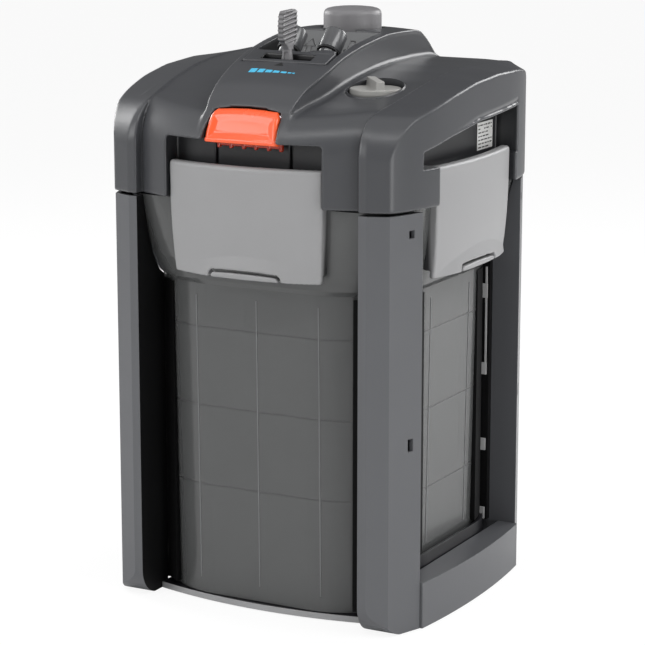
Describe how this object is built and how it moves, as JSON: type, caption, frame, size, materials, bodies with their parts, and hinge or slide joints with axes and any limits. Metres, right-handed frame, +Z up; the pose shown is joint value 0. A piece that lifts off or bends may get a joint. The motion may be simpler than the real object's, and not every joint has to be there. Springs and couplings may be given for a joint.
{
  "type": "canister filter",
  "caption": "Aquarium canister filter: smoked container in a post frame, pump head with side clips, flow lever, hose connectors, priming knob and bypass dial.",
  "frame": {"origin": "centre of the footprint, on the floor under the rubber feet", "axes": "+Z up, -Y towards the front clip and release latch, +X towards the bypass dial"},
  "size_m": [0.238, 0.235, 0.4],
  "materials": {
    "frame_plastic": "satin moulded dark grey",
    "cover_plastic": "satin moulded charcoal",
    "black_plastic": "black moulding",
    "smoked_shell": "smoked translucent, glossy",
    "clip_plastic": "satin light grey",
    "latch_red": "glossy red-orange",
    "control_grey": "satin mid grey",
    "rubber": "soft black rubber",
    "scale_blue": "printed light blue",
    "label_white": "printed label",
    "steel": "stainless",
    "ceramic": "white ceramic",
    "magnet": "moulded ferrite",
    "basket_plastic": "grey basket moulding",
    "foam_blue": "open-cell blue foam",
    "fleece_white": "white filter fleece",
    "media_clay": "porous sintered media"
  },
  "bodies": {
    "housing": {"base_tray": "black_plastic", "basket_handles": "basket_plastic", "cable_gland": "rubber", "clip_pins": "steel", "console_panel": "cover_plastic", "container": "smoked_shell", "corner_liners": "black_plastic", "corner_post_front_left": "frame_plastic", "corner_post_front_right": "frame_plastic", "corner_post_rear_left": "frame_plastic", "corner_post_rear_right": "frame_plastic", "dial_bezel": "cover_plastic", "filter_pad_coarse": "foam_blue", "filter_pad_fine": "fleece_white", "flow_scale": "scale_blue", "head_body": "black_plastic", "head_cover": "cover_plastic", "head_screws": "steel", "head_seal": "rubber", "hose_adapter": "cover_plastic", "impeller_cover": "black_plastic", "impeller_shaft": "ceramic", "intake_duct": "black_plastic", "latch_pin": "steel", "media_basket_lower": "basket_plastic", "media_basket_middle": "basket_plastic", "media_basket_upper": "basket_plastic", "media_rings": "media_clay", "media_substrate": "media_clay", "nozzle_inlet": "control_grey", "nozzle_outlet": "control_grey", "nozzle_rings": "rubber", "power_cable": "rubber", "prefilter_basket": "basket_plastic", "prefilter_foam": "foam_blue", "priming_spring": "steel", "rating_label": "label_white", "rubber_feet": "rubber", "shaft_bushes": "rubber", "side_skirt_left": "frame_plastic", "side_skirt_right": "frame_plastic", "stator": "black_plastic"},
    "clip_front_body": {"clip_front": "clip_plastic"},
    "clip_right_body": {"clip_right": "clip_plastic"},
    "clip_rear_body": {"clip_rear": "clip_plastic"},
    "clip_left_body": {"clip_left": "clip_plastic"},
    "latch_body": {"release_latch": "latch_red"},
    "lever_body": {"flow_lever": "control_grey", "valve_spindle": "control_grey"},
    "knob_body": {"priming_knob": "control_grey", "priming_piston": "black_plastic", "piston_seal": "rubber"},
    "dial_body": {"bypass_dial": "control_grey", "bypass_stem": "control_grey"},
    "rotor_body": {"rotor_magnet": "magnet", "impeller": "magnet"}
  },
  "joints": [
    {"name": "clip_front_swing", "type": "hinge", "parent": "housing", "child": "clip_front_body", "pos_m": [0, -0.1055, 0.2975], "axis": [-1, 0, 0], "range_deg": [0, 75]},
    {"name": "clip_right_swing", "type": "hinge", "parent": "housing", "child": "clip_right_body", "pos_m": [0.1085, 0, 0.2975], "axis": [0, -1, 0], "range_deg": [0, 75]},
    {"name": "clip_rear_swing", "type": "hinge", "parent": "housing", "child": "clip_rear_body", "pos_m": [0, 0.1055, 0.2975], "axis": [1, 0, 0], "range_deg": [0, 75]},
    {"name": "clip_left_swing", "type": "hinge", "parent": "housing", "child": "clip_left_body", "pos_m": [-0.1085, 0, 0.2975], "axis": [0, 1, 0], "range_deg": [0, 75]},
    {"name": "release_latch_tilt", "type": "hinge", "parent": "housing", "child": "latch_body", "pos_m": [0, -0.104, 0.3365], "axis": [-1, 0, 0], "range_deg": [0, 20]},
    {"name": "flow_lever_swing", "type": "hinge", "parent": "housing", "child": "lever_body", "pos_m": [0, -0.0505, 0.352], "axis": [0, 1, 0], "range_deg": [-30, 30]},
    {"name": "priming_knob_press", "type": "slide", "parent": "housing", "child": "knob_body", "axis": [0, 0, -1], "range_m": [0, 0.018], "stiffness_N_per_m": 150, "springref_m": -0.002, "deforming": ["priming_spring"]},
    {"name": "bypass_dial_turn", "type": "hinge", "parent": "housing", "child": "dial_body", "pos_m": [0.061, -0.0437, 0.351], "axis": [0, 0, 1], "range_deg": [0, 90]},
    {"name": "rotor_spin", "type": "hinge", "parent": "housing", "child": "rotor_body", "pos_m": [0, -0.042, 0.28], "axis": [0, 0, 1], "continuous": true}
  ]
}
